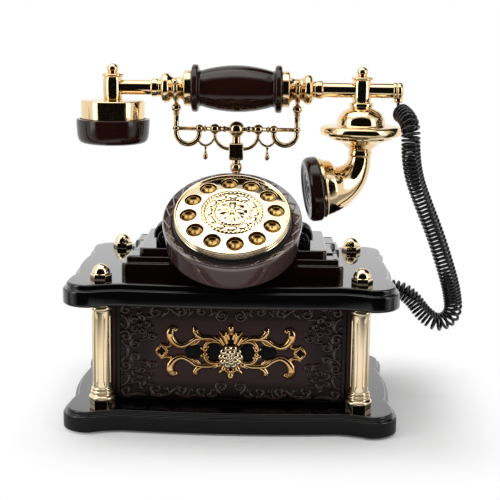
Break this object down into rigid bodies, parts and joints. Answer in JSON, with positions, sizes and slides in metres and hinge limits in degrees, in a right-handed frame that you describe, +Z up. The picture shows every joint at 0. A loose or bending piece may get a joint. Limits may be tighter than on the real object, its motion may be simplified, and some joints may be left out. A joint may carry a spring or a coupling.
{
  "type": "cradle telephone",
  "caption": "Vintage-style cradle telephone: column-cornered wooden base, tilted push-button dial, sprung hook with forks, and a lift-off handset with a curly cord.",
  "frame": {"origin": "centre of the felt's underside, where the telephone stands on a table", "axes": "+X to the caller's right along the handset, +Y to the back, +Z up"},
  "size_m": [0.3247, 0.1907, 0.2779],
  "materials": {
    "lacquered_wood": "black piano lacquer",
    "mahogany_panel": "dark mahogany lacquer with carved border",
    "brown_gloss": "high-gloss dark brown",
    "gold_plated_metal": "polished gold plate",
    "gold_plated_plastic": "polished gold plate",
    "gold_key": "satin gold with dark figures",
    "felt": "black felt",
    "black_plastic": "moulded",
    "circuit_board": "green solder mask",
    "steel": "zinc plated",
    "cord_jacket": "glossy black jacket"
  },
  "bodies": {
    "base": {"plinth": "lacquered_wood", "top_plate": "lacquered_wood", "lower_step": "lacquered_wood", "upper_step": "lacquered_wood", "dial_pedestal": "lacquered_wood", "side_scrolls": "lacquered_wood", "front_panel": "mahogany_panel", "case_shell": "mahogany_panel", "dial_cup": "brown_gloss", "front_left_column": "gold_plated_metal", "front_right_column": "gold_plated_metal", "back_left_column": "gold_plated_metal", "back_right_column": "gold_plated_metal", "tie_bolts": "gold_plated_metal", "hook_bush": "gold_plated_metal", "front_ornament": "gold_plated_plastic", "finger_plate": "gold_plated_plastic", "dial_medallion": "gold_plated_plastic", "felt_pad": "felt", "bottom_cover": "black_plastic", "key_guide": "black_plastic", "hook_switch": "black_plastic", "line_jack": "black_plastic", "cord_gland": "black_plastic", "ringer": "black_plastic", "keypad_board": "circuit_board", "main_board": "circuit_board", "cover_screws": "steel", "hook_spring": "steel", "handset_cord": "cord_jacket"},
    "cradle": {"cradle_stem": "gold_plated_metal", "cradle_crossbar": "gold_plated_metal", "left_fork": "gold_plated_metal", "right_fork": "gold_plated_metal"},
    "handset": {"handset_grip": "brown_gloss", "handset_tube": "gold_plated_metal", "left_collar": "gold_plated_plastic", "right_collar": "gold_plated_plastic", "earpiece_post": "gold_plated_plastic", "earpiece_cap": "gold_plated_plastic", "earpiece": "brown_gloss", "receiver_capsule": "black_plastic", "mouth_post": "gold_plated_plastic", "mouth_bell": "gold_plated_plastic", "mouth_elbow": "gold_plated_plastic", "mouthpiece": "brown_gloss", "microphone": "black_plastic", "tube_end_cap": "gold_plated_plastic"},
    "key_1": {"key_1": "gold_key"},
    "key_2": {"key_2": "gold_key"},
    "key_3": {"key_3": "gold_key"},
    "key_4": {"key_4": "gold_key"},
    "key_5": {"key_5": "gold_key"},
    "key_6": {"key_6": "gold_key"},
    "key_7": {"key_7": "gold_key"},
    "key_8": {"key_8": "gold_key"},
    "key_9": {"key_9": "gold_key"},
    "key_star": {"key_star": "gold_key"},
    "key_0": {"key_0": "gold_key"},
    "key_hash": {"key_hash": "gold_key"}
  },
  "joints": [
    {"name": "handset_lift", "type": "slide", "parent": "base", "child": "handset", "axis": [0, 0, 1], "range_m": [0, 0.1], "deforming": ["handset_cord"]},
    {"name": "hook_slide", "type": "slide", "parent": "base", "child": "cradle", "axis": [0, 0, 1], "range_m": [0, 0.006], "deforming": ["hook_spring"]},
    {"name": "key_1_press", "type": "slide", "parent": "base", "child": "key_1", "axis": [0, 0.5548, -0.832], "range_m": [0, 0.002], "stiffness_N_per_m": 400},
    {"name": "key_2_press", "type": "slide", "parent": "base", "child": "key_2", "axis": [0, 0.5548, -0.832], "range_m": [0, 0.002], "stiffness_N_per_m": 400},
    {"name": "key_3_press", "type": "slide", "parent": "base", "child": "key_3", "axis": [0, 0.5548, -0.832], "range_m": [0, 0.002], "stiffness_N_per_m": 400},
    {"name": "key_4_press", "type": "slide", "parent": "base", "child": "key_4", "axis": [0, 0.5548, -0.832], "range_m": [0, 0.002], "stiffness_N_per_m": 400},
    {"name": "key_5_press", "type": "slide", "parent": "base", "child": "key_5", "axis": [0, 0.5548, -0.832], "range_m": [0, 0.002], "stiffness_N_per_m": 400},
    {"name": "key_6_press", "type": "slide", "parent": "base", "child": "key_6", "axis": [0, 0.5548, -0.832], "range_m": [0, 0.002], "stiffness_N_per_m": 400},
    {"name": "key_7_press", "type": "slide", "parent": "base", "child": "key_7", "axis": [0, 0.5548, -0.832], "range_m": [0, 0.002], "stiffness_N_per_m": 400},
    {"name": "key_8_press", "type": "slide", "parent": "base", "child": "key_8", "axis": [0, 0.5548, -0.832], "range_m": [0, 0.002], "stiffness_N_per_m": 400},
    {"name": "key_9_press", "type": "slide", "parent": "base", "child": "key_9", "axis": [0, 0.5548, -0.832], "range_m": [0, 0.002], "stiffness_N_per_m": 400},
    {"name": "key_star_press", "type": "slide", "parent": "base", "child": "key_star", "axis": [0, 0.5548, -0.832], "range_m": [0, 0.002], "stiffness_N_per_m": 400},
    {"name": "key_0_press", "type": "slide", "parent": "base", "child": "key_0", "axis": [0, 0.5548, -0.832], "range_m": [0, 0.002], "stiffness_N_per_m": 400},
    {"name": "key_hash_press", "type": "slide", "parent": "base", "child": "key_hash", "axis": [0, 0.5548, -0.832], "range_m": [0, 0.002], "stiffness_N_per_m": 400}
  ],
  "couplings": [
    {"joint": "hook_slide", "follows": "handset_lift", "ratio": 0.06}
  ]
}
